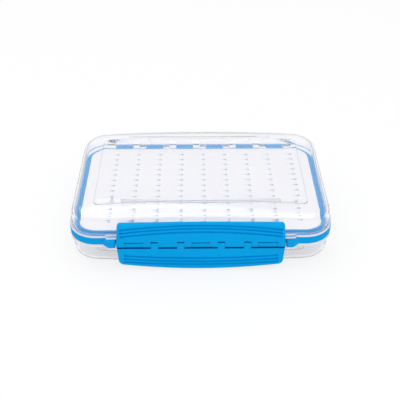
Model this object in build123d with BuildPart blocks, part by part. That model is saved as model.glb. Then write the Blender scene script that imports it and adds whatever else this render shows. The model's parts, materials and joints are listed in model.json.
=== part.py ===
from build123d import *
import os

# A double-sided fly box, closed, standing on the feet of its lower lid.
#
# A blue frame with a web across its middle carries a slit foam on each side. Two clear lids, the
# same moulding twice, turn on one pin along the back. Each lid is held shut by a wide latch, and
# both latches turn on one pin along the front. The origin is under the middle of the box, on the
# surface that it stands on. X runs to the right along the latches, Y to the hinge, Z up.

# ---- Driving sizes, in millimetres -------------------------------------------------------------

box_width = 150.0  # outside of the frame's band
box_depth = 98.0  # outside of the frame's band, without latches and hinge
box_height = 38.2  # from the feet of one lid to the feet of the other
corner_radius = 16.0  # of the band

# Frame
band_height = 4.3
band_rounding = 0.4
web_thickness = 1.5
ring_inset = 3.3  # from the band's outside to the ring that centres the lid
ring_thickness = 2.0
ring_height = 1.5  # above the band

# Seals
seal_width = 1.2
seal_inset = 1.2  # from the band's outside
groove_depth = 0.9
groove_clearance = 0.1  # each side of the seal
seal_squeeze = 0.1  # how far the seal stands above the band

# Lids
lid_wall = 1.4
flange_inset = 0.2  # the lid's flange behind the band's outside
flange_height = 2.45
wall_inset = 1.0  # the lid's wall behind the band's outside, at the band
wall_draft = 4.0  # degrees
shoulder_drop = 3.7  # from the crown down to the shoulders
shoulder_radius = 4.5
shoulder_crown = 0.2  # the shoulders' own slight arch
crown_steps = (-1, -0.9, -0.7, 0, 0.7, 0.9, 1)  # sections of the top, as shares of half the depth
crown_power = 6  # how late the top rolls off to its front and back edges
foot_height = 0.7  # above the crown
foot_length = 90.0
foot_width = 1.2
panel_width = 121.0  # the raised panel on the lid's top
panel_depth = 72.0
panel_corner = 3.0
panel_rise = 0.3
lip_reach = 1.3  # in front of the band
lip_corner = 1.2

# Foams
foam_clearance = 0.3
foam_height = 3.95  # above the web
slit_length = 4.3
slit_width = 0.5
slit_depth = 3.0
slit_pitch_across = 14.0
slit_pitch_back = 5.95
slit_margin = 7.0  # from the foam's edge to the outermost slits, at least

# Hinge at the back
hinge_offset = 2.6  # from the back of the band to the pin
hinge_pin_radius = 1.0
knuckle_radius = 2.4  # of the frame's knuckles
arm_radius = 2.3  # of the lids' arms
arm_width = 4.0
arm_gap = 0.2  # beside each arm
arm_root = 1.0  # how far the arms reach into the flange
gaps_each_side = 3  # openings between the frame's knuckles, from the middle to the end

# Latches at the front
latch_width = 94.6
latch_taper = 0.9  # narrower at the free edge, on each side
latch_offset = 2.2  # from the front of the band to the pin
latch_pin_radius = 0.75
latch_front = 1.1  # front wall's outside, in front of the pin
latch_wall = 1.7
latch_end_heights = (13.1, 13.9)  # free edges of the upper and lower latch, at the ends
latch_bow = 2.9  # and how much higher it is in the middle
latch_back_bow = 0.2  # the same at the free edge's inner side
latch_top_reach = 3.7  # from the front wall back to the free edge's inner side
latch_corner = 2.0
latch_base = 2.2  # lower edge of the front wall, from the pin
bevel_depth = 0.6
bevel_height = 0.7
latch_knuckle_radius = 1.5
frame_knuckle_radius = 1.4
catch_reach = 1.1  # over the lid's lip
catch_height = 1.5
catch_clearance = 0.2
groove_drops = (7.7, 5.3, 3.1)  # three shallow grooves, below the free edge at its ends
groove_bows = (3.3, 3.3, 3.1)  # how much higher each is in the middle
groove_width = 1.0
groove_cut = 0.5
groove_stop = 2.2  # from the latch's ends
end_knuckle_width = 4.3
frame_knuckle_width = 10.8
tab_width = 4.0
tab_spread = 7.35  # tabs on each side of the middle between two frame knuckles
knuckle_gap = 0.2
ear_gap = 0.6  # between a latch and the ears beside it
ear_length = 8.3
ear_reach = 3.7  # in front of the band
ear_bore_depth = 3.0
lip_setback = 2.9  # the lip's ends behind the ears' ends

# Pins
pin_fit = 0.02  # radial, where a pin is held
pin_clearance = 0.05  # radial, where a piece turns on a pin

# ---- What follows from them --------------------------------------------------------------------

band_half = band_height / 2
web_half = web_thickness / 2
rim_level = band_half + seal_squeeze
flange_top = rim_level + flange_height
crown_level = box_height / 2 - foot_height
shoulder_level = crown_level - shoulder_drop
ring_inner = ring_inset + ring_thickness

hinge_y = box_depth / 2 + hinge_offset
hinge_half = box_width / 2 - corner_radius
hinge_pitch = hinge_half / gaps_each_side
hinge_opening = 2 * arm_width + 3 * arm_gap
arm_step = (arm_width + arm_gap) / 2

latch_y = -box_depth / 2 - latch_offset
latch_front_y = latch_y - latch_front
latch_inside_y = latch_front_y + latch_wall
latch_back_y = latch_front_y + latch_top_reach
latch_half = latch_width / 2
knuckle_pitch = latch_half - end_knuckle_width - knuckle_gap - frame_knuckle_width / 2
ear_start = latch_half + ear_gap
ear_end = ear_start + ear_length
lip_half = ear_end - lip_setback

# The box stands so that the origin is under the middle of everything, hinge and ears included.
hinge_reach = hinge_offset + knuckle_radius
centre = (0, (ear_reach - hinge_reach) / 2, box_height / 2)

# Both levels lie in the band's middle. Each one's third axis points out of the box on its side,
# and its second axis points to the hinge, so a piece of the lower side is the upper one's turned.
upper_side = Plane(origin=centre, x_dir=(1, 0, 0), z_dir=(0, 0, 1))
lower_side = Plane(origin=centre, x_dir=(-1, 0, 0), z_dir=(0, 0, -1))
both_sides = (upper_side, lower_side)


# ---- Planes, outlines and places ---------------------------------------------------------------


def end_plane(side, x):
    """The upright plane at x, seen from the side's own left end: first axis to the hinge."""
    return Plane(side.from_local_coords((x, 0, 0)), x_dir=side.y_dir, z_dir=side.x_dir)


def front_plane(side, y):
    """The upright plane at y, seen from the front, with its second axis out of the box."""
    return Plane(side.from_local_coords((0, y, 0)), x_dir=side.x_dir, z_dir=-side.y_dir)


def outline(inset, mode=Mode.ADD):
    """The band's outline, moved in by inset."""
    width = box_width - 2 * inset
    depth = box_depth - 2 * inset
    return RectangleRounded(width, depth, corner_radius - inset, mode=mode)


def arm_places():
    """Where one lid's arms stand: one in each opening, left and right of its middle by turns."""
    steps = range(-gaps_each_side, gaps_each_side)
    return [step * hinge_pitch - (-1) ** step * arm_step for step in steps]


def frame_knuckle_places():
    """Middles of the frame's three knuckles under the latches."""
    return [-knuckle_pitch, 0.0, knuckle_pitch]


def lower_latch_spans():
    """The lower latch's tabs, two between each pair of frame knuckles."""
    spans = []
    for middle in (-knuckle_pitch / 2, knuckle_pitch / 2):
        for step in (-tab_spread, tab_spread):
            tab = middle + step
            spans.append((tab - tab_width / 2, tab + tab_width / 2))
    return spans


def upper_latch_spans():
    """The upper latch fills what the frame's knuckles and the lower latch's tabs leave of the pin."""
    half = frame_knuckle_width / 2
    taken = [(place - half, place + half) for place in frame_knuckle_places()]
    taken = sorted(taken + lower_latch_spans())
    starts = [-latch_half] + [end + knuckle_gap for _, end in taken]
    ends = [start - knuckle_gap for start, _ in taken] + [latch_half]
    return list(zip(starts, ends))


# ---- Lids --------------------------------------------------------------------------------------


def crown_block(side, rise):
    """All that lies under the lid's top: arched from side to side, and rolled off to both edges."""
    half = box_width / 2
    top = shoulder_level + rise
    with BuildPart() as block:
        for step in crown_steps:
            crown = shoulder_crown + (shoulder_drop - shoulder_crown) * (1 - abs(step) ** crown_power)
            with BuildSketch(front_plane(side, step * box_depth / 2)):
                with BuildLine():
                    Polyline((half, top), (half, 0), (-half, 0), (-half, top))
                    ThreePointArc((-half, top), (0, top + crown), (half, top))
                make_face()
        loft()
    return block.part


def dome(side, inset, rise, rounding):
    """The lid's closed block: drafted walls inset from the band's outline, under its top."""
    under_top = crown_block(side, rise)
    with BuildPart() as block:
        with BuildSketch(side.offset(rim_level)):
            outline(inset)
        extrude(amount=box_height / 2, taper=wall_draft)
        add(under_top, mode=Mode.INTERSECT)
        rims = [edge for edge in block.edges() if on_shoulder(side, edge, shoulder_level + rise)]
        fillet(rims, rounding)
    return block.part


def on_shoulder(side, edge, level):
    """True on the edges where the walls meet the top."""
    ends = [side.to_local_coords(edge @ part).Z for part in (0, 1)]
    middle = side.to_local_coords(edge @ 0.5).Z
    return min(ends + [middle]) > level - shoulder_radius / 2


def raised_panel(side):
    """The panel on the lid's top, a little above the crown."""
    under_top = crown_block(side, panel_rise)
    with BuildPart() as panel:
        with BuildSketch(side.offset(shoulder_level - lid_wall)):
            RectangleRounded(panel_width, panel_depth, panel_corner)
        extrude(amount=box_height)
        add(under_top, mode=Mode.INTERSECT)
    return panel.part


def arm_profile():
    """A lid's arm, from its root in the flange over to the pin."""
    outer = hinge_y + arm_radius
    inner = hinge_y - arm_radius
    root = box_depth / 2 - arm_root
    turn = flange_top - arm_radius
    with BuildSketch() as profile:
        with BuildLine():
            Polyline((outer, turn), (outer, 0), (inner, 0), (inner, rim_level), (root, rim_level))
            Polyline((root, rim_level), (root, flange_top), (hinge_y, flange_top))
            CenterArc((hinge_y, turn), arm_radius, 0, 90)
        make_face()
        with Locations((hinge_y, 0)):
            Circle(arm_radius)
    return profile.sketch


def clear_lid(side):
    """One lid: flange, front lip, hinge arms, hollow dome, raised panel and two feet."""
    outside = dome(side, wall_inset, 0, shoulder_radius)
    hollow = dome(side, wall_inset + lid_wall, -lid_wall, shoulder_radius - lid_wall)
    panel = raised_panel(side)
    arm = arm_profile()
    foot_y = (panel_depth - foot_width) / 2
    with BuildPart() as lid:
        add(outside)
        add(panel)
        with BuildSketch(side.offset(rim_level)):
            with Locations((0, foot_y), (0, -foot_y)):
                Rectangle(foot_length, foot_width)
        extrude(amount=box_height / 2 - rim_level)
        with BuildSketch(side.offset(rim_level)):
            outline(flange_inset)
        extrude(amount=flange_height)
        with BuildSketch(side.offset(rim_level)) as lip:
            with Locations((0, -box_depth / 2)):
                Rectangle(2 * lip_half, 2 * lip_reach)
            fillet(lip.vertices(), lip_corner)
        extrude(amount=flange_height)
        for place in arm_places():
            with BuildSketch(end_plane(side, place - arm_width / 2)):
                add(arm)
            extrude(amount=arm_width)
        add(hollow, mode=Mode.SUBTRACT)
        with BuildSketch(end_plane(side, -box_width / 2)):
            with Locations((hinge_y, 0)):
                Circle(hinge_pin_radius + pin_clearance)
        extrude(amount=box_width, mode=Mode.SUBTRACT)
    return lid


upper_lid = clear_lid(upper_side)
lower_lid = clear_lid(lower_side)

# ---- Frame, with the web that carries the foams ------------------------------------------------


def ear_outline():
    """An ear beside the latches, seen from above: square at the latch, swept into the band."""
    front = -box_depth / 2 - ear_reach
    root = -box_depth / 2 + band_rounding
    flat_end = ear_start + ear_bore_depth
    with BuildSketch() as ear:
        with BuildLine():
            Polyline((ear_end, root), (ear_start, root), (ear_start, front), (flat_end, front))
            Spline((flat_end, front), (ear_end, root), tangents=((1, 0), (1, 0)))
        make_face()
    return ear.sketch


def barrel_profile(pin_y, radius, root_y, half):
    """A knuckle round a pin with the block that carries it."""
    with Locations((pin_y, 0)):
        Circle(radius)
    with Locations(((pin_y + root_y) / 2, 0)):
        Rectangle(abs(root_y - pin_y), 2 * half)


back_root = box_depth / 2 - band_rounding
front_root = -box_depth / 2 + band_rounding
back_knuckle_width = hinge_pitch - hinge_opening
ear = ear_outline()

with BuildPart() as mid_frame:
    with BuildSketch(upper_side.offset(-band_half)):
        outline(0)
    extrude(amount=band_height)
    fillet(mid_frame.edges().group_by(Axis.Z)[0] + mid_frame.edges().group_by(Axis.Z)[-1], band_rounding)
    for side in both_sides:
        with BuildSketch(side.offset(band_half)):
            outline(ring_inset)
        extrude(amount=ring_height)
        with BuildSketch(side.offset(web_half)):
            outline(ring_inner)
        extrude(amount=box_height, mode=Mode.SUBTRACT)
        with BuildSketch(side.offset(band_half)):
            outline(seal_inset - groove_clearance)
            outline(seal_inset + seal_width + groove_clearance, mode=Mode.SUBTRACT)
        extrude(amount=-groove_depth, mode=Mode.SUBTRACT)
    for step in range(-gaps_each_side, gaps_each_side):
        place = (step + 0.5) * hinge_pitch
        with BuildSketch(end_plane(upper_side, place - back_knuckle_width / 2)):
            barrel_profile(hinge_y, knuckle_radius, back_root, band_half)
        extrude(amount=back_knuckle_width)
    for place in frame_knuckle_places():
        with BuildSketch(end_plane(upper_side, place - frame_knuckle_width / 2)):
            barrel_profile(latch_y, frame_knuckle_radius, front_root, frame_knuckle_radius)
        extrude(amount=frame_knuckle_width)
    with BuildSketch(upper_side.offset(-band_half)):
        add(ear)
        mirror(about=Plane.YZ)
    extrude(amount=band_height)
    with BuildSketch(end_plane(upper_side, -hinge_half)):
        with Locations((hinge_y, 0)):
            Circle(hinge_pin_radius + pin_fit)
    extrude(amount=2 * hinge_half, mode=Mode.SUBTRACT)
    with BuildSketch(end_plane(upper_side, -ear_start - ear_bore_depth)):
        with Locations((latch_y, 0)):
            Circle(latch_pin_radius + pin_fit)
    extrude(amount=2 * (ear_start + ear_bore_depth), mode=Mode.SUBTRACT)

# ---- Seals and foams ---------------------------------------------------------------------------


def rim_seal(side):
    """A soft ring in the band's groove, under the lid's flange."""
    with BuildPart() as seal:
        with BuildSketch(side.offset(band_half - groove_depth)):
            outline(seal_inset)
            outline(seal_inset + seal_width, mode=Mode.SUBTRACT)
        extrude(amount=groove_depth + seal_squeeze)
    return seal


def slit_foam(side):
    """A slab on the web, inside the ring, with rows of short slits that hold the flies' hooks."""
    inset = ring_inner + foam_clearance
    columns = int((box_width - 2 * inset - 2 * slit_margin - slit_length) / slit_pitch_across) + 1
    rows = int((box_depth - 2 * inset - 2 * slit_margin) / slit_pitch_back) + 1
    with BuildPart() as foam:
        with BuildSketch(side.offset(web_half)):
            outline(inset)
        extrude(amount=foam_height)
        with BuildSketch(side.offset(web_half + foam_height)):
            with GridLocations(slit_pitch_across, slit_pitch_back, columns, rows):
                Rectangle(slit_length, slit_width)
        extrude(amount=-slit_depth, mode=Mode.SUBTRACT)
    return foam


upper_seal = rim_seal(upper_side)
lower_seal = rim_seal(lower_side)
upper_foam = slit_foam(upper_side)
lower_foam = slit_foam(lower_side)

# ---- Latches -----------------------------------------------------------------------------------


def latch_section(inset, end_height, bow):
    """The latch's outline seen from the front: straight below, bowed at the free edge."""
    base = latch_base - inset
    foot = latch_half - inset
    tip = foot - latch_taper
    top = end_height - inset
    with BuildSketch() as section:
        with BuildLine():
            Polyline((tip, top), (foot, base), (-foot, base), (-tip, top))
            ThreePointArc((-tip, top), (0, top + bow), (tip, top))
        make_face()
        fillet(section.vertices().group_by(Axis.Y)[-1], latch_corner)
    return section.sketch


def latch_block(side, inset, end_height):
    """From the bowed front wall back to the straight inner side of the free edge."""
    bowed = latch_section(inset, end_height, latch_bow)
    straight = latch_section(inset, end_height, latch_back_bow)
    with BuildPart() as block:
        with BuildSketch(front_plane(side, latch_front_y)):
            add(bowed)
        with BuildSketch(front_plane(side, latch_back_y)):
            add(straight)
        loft(ruled=True)
    return block.part


def latch_hollow(side, end_height):
    """The room behind the latch's front wall, inside its ends and free edge."""
    inside = latch_block(side, latch_wall, end_height)
    room = latch_back_y - latch_inside_y
    with BuildPart() as hollow:
        with BuildSketch(front_plane(side, latch_back_y)):
            Rectangle(latch_width, box_height)
        extrude(amount=room)
        add(inside, mode=Mode.INTERSECT)
    return hollow.part


def groove_outlines(end_height):
    """The shallow grooves across the front wall, bowed like the free edge."""
    end = latch_half - groove_stop
    with BuildSketch() as grooves:
        for drop, bow in zip(groove_drops, groove_bows):
            low = end_height - drop - groove_width / 2
            high = low + groove_width
            with BuildLine():
                ThreePointArc((-end, low), (0, low + bow), (end, low))
                Line((end, low), (end, high))
                ThreePointArc((end, high), (0, high + bow), (-end, high))
                Line((-end, high), (-end, low))
            make_face()
    return grooves.sketch


def latch(side, spans, end_height):
    """One latch: hollow behind, with a catch over the lid's lip, and knuckles on the pin."""
    outside = latch_block(side, 0, end_height)
    hollow = latch_hollow(side, end_height)
    grooves = groove_outlines(end_height)
    catch_base = flange_top + catch_clearance
    catch_tip_y = -box_depth / 2 - lip_reach + catch_reach
    bevel_y = latch_front_y + bevel_depth
    bevel_top = latch_base + bevel_height
    with BuildPart() as leaf:
        add(outside)
        add(hollow, mode=Mode.SUBTRACT)
        with BuildSketch(end_plane(side, -latch_half)):
            with Locations((latch_inside_y, 0)):
                Rectangle(box_depth / 2, 2 * catch_base, align=(Align.MIN, Align.CENTER))
            with BuildLine():
                Polyline((latch_front_y, bevel_top), (latch_front_y, 0), (bevel_y, 0), (bevel_y, latch_base))
                Line((bevel_y, latch_base), (latch_front_y, bevel_top))
            make_face()
        extrude(amount=latch_width, mode=Mode.SUBTRACT)
        with BuildSketch(end_plane(side, latch_wall - latch_half)):
            with Locations((latch_inside_y - latch_wall / 2, catch_base)):
                width = catch_tip_y - latch_inside_y + latch_wall / 2
                Rectangle(width, catch_height, align=(Align.MIN, Align.MIN))
        extrude(amount=latch_width - 2 * latch_wall)
        with BuildSketch(front_plane(side, latch_front_y)):
            add(grooves)
        extrude(amount=-groove_cut, mode=Mode.SUBTRACT)
        for start, end in spans:
            with BuildSketch(end_plane(side, start)):
                with Locations((latch_y, 0)):
                    Circle(latch_knuckle_radius)
                with Locations((latch_front_y, 0)):
                    Rectangle(latch_wall, bevel_top, align=(Align.MIN, Align.MIN))
            extrude(amount=end - start)
        with BuildSketch(end_plane(side, -latch_half)):
            with Locations((latch_y, 0)):
                Circle(latch_pin_radius + pin_clearance)
        extrude(amount=latch_width, mode=Mode.SUBTRACT)
    return leaf


upper_latch = latch(upper_side, upper_latch_spans(), latch_end_heights[0])
lower_latch = latch(lower_side, lower_latch_spans(), latch_end_heights[1])

# ---- Pins --------------------------------------------------------------------------------------


def straight_pin(side, pin_y, radius, half_length):
    """A plain steel pin along X."""
    with BuildPart() as pin:
        with BuildSketch(end_plane(side, -half_length)):
            with Locations((pin_y, 0)):
                Circle(radius)
        extrude(amount=2 * half_length)
    return pin


hinge_pin = straight_pin(upper_side, hinge_y, hinge_pin_radius, hinge_half)
latch_pin = straight_pin(upper_side, latch_y, latch_pin_radius, ear_start + ear_bore_depth)

# ---- Pieces, one file each ---------------------------------------------------------------------

pieces = {
    "lower_lid": lower_lid,
    "upper_lid": upper_lid,
    "mid_frame": mid_frame,
    "lower_seal": lower_seal,
    "upper_seal": upper_seal,
    "lower_foam": lower_foam,
    "upper_foam": upper_foam,
    "upper_latch": upper_latch,
    "lower_latch": lower_latch,
    "latch_pin": latch_pin,
    "hinge_pin": hinge_pin,
}

os.makedirs("parts", exist_ok=True)
for name, piece in pieces.items():
    piece.part.label = name
    export_step(piece.part, f"parts/{name}.step")
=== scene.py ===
"""A double-sided fly box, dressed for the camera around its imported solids.

Lengths in the classes are in millimetres about the middle of the box: X to the right along the
latches, Y to the hinge, Z out through the upper lid. Workshop.finish carries a finished mesh into
the row's frame, in metres. A piece of the lower side is the upper one's, turned over about Y.
"""

import json
import logging
import math
from collections.abc import Callable, Sequence
from dataclasses import dataclass, field
from enum import Enum

import bmesh
import bpy
from bmesh.types import BMEdge, BMesh, BMFace, BMVert
from mathutils import Matrix, Vector


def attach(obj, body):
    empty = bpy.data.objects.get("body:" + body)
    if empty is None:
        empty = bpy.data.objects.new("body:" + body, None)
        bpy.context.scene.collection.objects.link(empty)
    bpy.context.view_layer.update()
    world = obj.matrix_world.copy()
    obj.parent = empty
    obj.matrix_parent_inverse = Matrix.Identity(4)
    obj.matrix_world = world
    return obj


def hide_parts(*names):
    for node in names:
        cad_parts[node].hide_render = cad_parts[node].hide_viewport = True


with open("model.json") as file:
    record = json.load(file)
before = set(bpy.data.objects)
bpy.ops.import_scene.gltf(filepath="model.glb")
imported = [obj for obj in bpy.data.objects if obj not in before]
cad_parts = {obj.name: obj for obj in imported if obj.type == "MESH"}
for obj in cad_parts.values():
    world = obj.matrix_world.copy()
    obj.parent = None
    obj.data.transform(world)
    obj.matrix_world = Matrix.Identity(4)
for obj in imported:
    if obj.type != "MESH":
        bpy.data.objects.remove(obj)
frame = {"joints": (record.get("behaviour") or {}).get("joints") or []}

log = logging.getLogger("fly_box")

MILLIMETRE = 0.001


class Side(Enum):
    """The two halves of the box."""

    UPPER = "upper"
    LOWER = "lower"

    def turn(self) -> Matrix:
        """The turn that takes a piece of the upper side to this side."""
        return Matrix.Identity(4) if self is Side.UPPER else Matrix.Rotation(math.pi, 4, "Y")


class Join(Enum):
    """How one closed shape acts on another."""

    ADD = "UNION"
    TAKE = "DIFFERENCE"


# ---- Outlines and rings ------------------------------------------------------------------------


@dataclass(frozen=True)
class Station:
    """One place on every rounded outline: a share of its straight runs and the way it faces."""

    share_x: float
    share_y: float
    facing: float

    def outward(self) -> Vector:
        """The outline's outward direction here, level."""
        return Vector((math.cos(self.facing), math.sin(self.facing), 0.0))


@dataclass(frozen=True)
class RoundedOutline:
    """A rounded rectangle seen from above."""

    half_width: float
    half_depth: float
    radius: float

    def point(self, station: Station, inset: float = 0.0, level: float = 0.0) -> Vector:
        """Finds a station's point on the outline moved in.

        Args:
            station: Which place on the outline.
            inset: How far in from the outline, up to its corner radius.
            level: Height of the point.

        Returns:
            The point, in millimetres.
        """
        run = Vector((self.half_width - self.radius, self.half_depth - self.radius, 0.0))
        anchor = Vector((station.share_x * run.x, station.share_y * run.y, level))
        return anchor + station.outward() * (self.radius - inset)


def round_stations(
    corner_steps: int,
    shares_x: Sequence[float],
    shares_y: Sequence[float],
) -> list[Station]:
    """Lists the stations once round, anticlockwise from the front run's left end.

    Args:
        corner_steps: Steps in each corner's quarter turn.
        shares_x: Inner places along the front and back runs, rising, from -1 to 1.
        shares_y: Inner places along the left and right runs, rising, from -1 to 1.

    Returns:
        The stations, without a repeated one.
    """
    runs = (
        [(share, -1.0) for share in shares_x],
        [(1.0, share) for share in shares_y],
        [(share, 1.0) for share in reversed(shares_x)],
        [(-1.0, share) for share in reversed(shares_y)],
    )
    corners = ((1.0, -1.0), (1.0, 1.0), (-1.0, 1.0), (-1.0, -1.0))
    ring: list[Station] = []
    for quarter, (run, corner) in enumerate(zip(runs, corners)):
        facing = (quarter - 1) * math.pi / 2
        ring += [Station(x, y, facing) for x, y in run]
        for step in range(corner_steps + 1):
            turned = facing + step / corner_steps * math.pi / 2
            ring.append(Station(*corner, turned))
    return ring


def even_shares(steps: int, extra: Sequence[float] = ()) -> list[float]:
    """Inner shares of a run cut into equal steps, with extra ones sorted in."""
    shares = [2 * step / steps - 1 for step in range(1, steps)]
    kept = [share for share in shares if all(abs(share - more) > 0.03 for more in extra)]
    return sorted([*kept, *extra])


class RingLoft:
    """A skin grown ring by ring: each ring is extruded from the last and moved to its points."""

    def __init__(self, stations: Sequence[Station]) -> None:
        """Starts from a circle with one vertex for each station."""
        self.stations = list(stations)
        self.bm = bmesh.new()
        self.role = self.bm.verts.layers.int.new("station")
        made = bmesh.ops.create_circle(self.bm, segments=len(self.stations), radius=1.0)
        self.ring: list[BMVert] = made["verts"]
        for index, vert in enumerate(self.ring):
            vert[self.role] = index
        self.edges: list[BMEdge] = list(self.bm.edges)
        self.first_edges: list[BMEdge] = self.edges

    def place(self, points: Sequence[Vector]) -> None:
        """Moves the present ring to its points, one for each station."""
        for vert in self.ring:
            vert.co = points[vert[self.role]]

    def grow(self, points: Sequence[Vector]) -> None:
        """Extrudes the next ring and moves it to its points."""
        made = bmesh.ops.extrude_edge_only(self.bm, edges=self.edges)["geom"]
        self.ring = [part for part in made if isinstance(part, BMVert)]
        fresh = set(self.ring)
        self.edges = [
            part for part in made if isinstance(part, BMEdge) and fresh.issuperset(part.verts)
        ]
        self.place(points)

    def run(self, rings: Sequence[Sequence[Vector]], start: bool = False) -> None:
        """Grows through several rings; the first takes the circle's place where start is set."""
        for index, points in enumerate(rings):
            if start and index == 0:
                self.place(points)
            else:
                self.grow(points)

    def cap(
        self,
        edges: Sequence[BMEdge],
        surface: Callable[[float, float], float] | None = None,
        cuts_x: Sequence[float] = (),
        cuts_y: Sequence[float] = (),
    ) -> None:
        """Fills a ring, once no more rings grow from it, and lays the filling on a surface.

        Args:
            edges: The ring's edges.
            surface: Height of the filling over x and y, or None for a flat one.
            cuts_x: Where upright cuts across X divide the filling.
            cuts_y: Where upright cuts across Y divide it.
        """
        mark = self.bm.faces.layers.int.get("cap") or self.bm.faces.layers.int.new("cap")
        for face in self.bm.faces:
            face[mark] = 0
        for face in bmesh.ops.edgeloop_fill(self.bm, edges=edges)["faces"]:
            face[mark] = 1
        for normal, cuts in (((1, 0, 0), cuts_x), ((0, 1, 0), cuts_y)):
            for cut in cuts:
                faces = [face for face in self.bm.faces if face[mark]]
                edges = {edge for face in faces for edge in face.edges}
                verts = {vert for face in faces for vert in face.verts}
                spot = Vector(normal) * cut
                bmesh.ops.bisect_plane(
                    self.bm,
                    geom=[*faces, *edges, *verts],
                    dist=0.01,
                    plane_co=spot,
                    plane_no=normal,
                )
        if surface is not None:
            for vert in {v for face in self.bm.faces if face[mark] for v in face.verts}:
                vert.co.z = surface(vert.co.x, vert.co.y)

    def close(self) -> None:
        """Welds the last ring to the first, where the rings have come round to it."""
        bmesh.ops.remove_doubles(self.bm, verts=self.bm.verts, dist=1e-4)


# ---- Workshop ----------------------------------------------------------------------------------


def combine(base: BMesh, tool: BMesh, join: Join) -> BMesh:
    """Joins a closed shape to another, or takes it away.

    Args:
        base: The shape that is worked on. It is used up.
        tool: The shape that is added or taken away. It is used up.
        join: Which of the two.

    Returns:
        The new shape.
    """
    scene = bpy.context.scene
    made = []
    for shape in (base, tool):
        bmesh.ops.recalc_face_normals(shape, faces=shape.faces)
        mesh = bpy.data.meshes.new("shape")
        shape.to_mesh(mesh)
        shape.free()
        made.append(bpy.data.objects.new("shape", mesh))
        scene.collection.objects.link(made[-1])
    cutter = made[0].modifiers.new("join", "BOOLEAN")
    cutter.object = made[1]
    cutter.operation = join.value
    cutter.solver = "EXACT"
    graph = bpy.context.evaluated_depsgraph_get()
    mesh = bpy.data.meshes.new_from_object(made[0].evaluated_get(graph))
    result = bmesh.new()
    result.from_mesh(mesh)
    bpy.data.meshes.remove(mesh)
    for piece in made:
        used = piece.data
        bpy.data.objects.remove(piece)
        bpy.data.meshes.remove(used)
    return result


def pour(into: BMesh, shape: BMesh) -> None:
    """Puts a copy of one shape's faces into another, and frees the first."""
    mesh = bpy.data.meshes.new("pour")
    shape.to_mesh(mesh)
    shape.free()
    into.from_mesh(mesh)
    bpy.data.meshes.remove(mesh)


def block(low: Vector, high: Vector, rounding: float = 0.0, segments: int = 3) -> BMesh:
    """Makes a box between two corners, with its edges rounded where asked.

    Args:
        low: The lowest corner.
        high: The highest corner.
        rounding: Radius of the edges.
        segments: Steps in a rounding.

    Returns:
        The closed shape.
    """
    shape = bmesh.new()
    bmesh.ops.create_cube(shape, size=1.0)
    bmesh.ops.scale(shape, vec=high - low, verts=shape.verts)
    bmesh.ops.translate(shape, vec=(high + low) / 2, verts=shape.verts)
    if rounding:
        bmesh.ops.bevel(
            shape,
            geom=shape.edges[:],
            offset=rounding,
            segments=segments,
            affect="EDGES",
            profile=0.5,
            material=-1,
        )
    return shape


def prism(
    corners: Sequence[tuple[float, float]],
    start: float,
    end: float,
    rounded: dict[int, float] | None = None,
    edge: float = 0.0,
) -> BMesh:
    """Extrudes an upright outline along X.

    Args:
        corners: The outline's corners, as depth and height.
        start: Where along X it starts.
        end: Where it ends.
        rounded: Radii of the corners that are rounded, by their place in corners.
        edge: Rounding of the edges round both ends.

    Returns:
        The closed shape.
    """
    shape = bmesh.new()
    verts = [shape.verts.new((start, depth, height)) for depth, height in corners]
    shape.faces.new(verts)
    for index, radius in (rounded or {}).items():
        bmesh.ops.bevel(
            shape,
            geom=[verts[index]],
            offset=radius,
            segments=10,
            affect="VERTICES",
            profile=0.5,
            material=-1,
            clamp_overlap=False,
        )
    bmesh.ops.remove_doubles(shape, verts=shape.verts, dist=1e-4)
    made = bmesh.ops.extrude_face_region(shape, geom=shape.faces[:])["geom"]
    far = [part for part in made if isinstance(part, BMVert)]
    bmesh.ops.translate(shape, vec=(end - start, 0, 0), verts=far)
    bmesh.ops.recalc_face_normals(shape, faces=shape.faces)
    if edge:
        ends = [e for e in shape.edges if abs(e.verts[0].co.x - e.verts[1].co.x) < 1e-6]
        bmesh.ops.bevel(
            shape,
            geom=ends,
            offset=edge,
            segments=2,
            affect="EDGES",
            profile=0.5,
            material=-1,
        )
    return shape


def rod(radius: float, start: float, end: float, depth: float, chamfer: float = 0.0) -> BMesh:
    """Makes a round rod along X.

    Args:
        radius: Of the rod.
        start: Where along X it starts.
        end: Where it ends.
        depth: Its place along Y, at height 0.
        chamfer: Bevel round both ends.

    Returns:
        The closed shape.
    """
    shape = bmesh.new()
    bmesh.ops.create_cone(
        shape,
        cap_ends=True,
        segments=32,
        radius1=radius,
        radius2=radius,
        depth=end - start,
        matrix=Matrix.Rotation(math.pi / 2, 4, "Y"),
    )
    bmesh.ops.translate(shape, vec=((start + end) / 2, depth, 0), verts=shape.verts)
    if chamfer:
        rims = [e for e in shape.edges if abs(e.verts[0].co.x - e.verts[1].co.x) < 1e-6]
        bmesh.ops.bevel(
            shape,
            geom=rims,
            offset=chamfer,
            segments=2,
            affect="EDGES",
            profile=0.5,
            material=-1,
        )
    return shape


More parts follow.
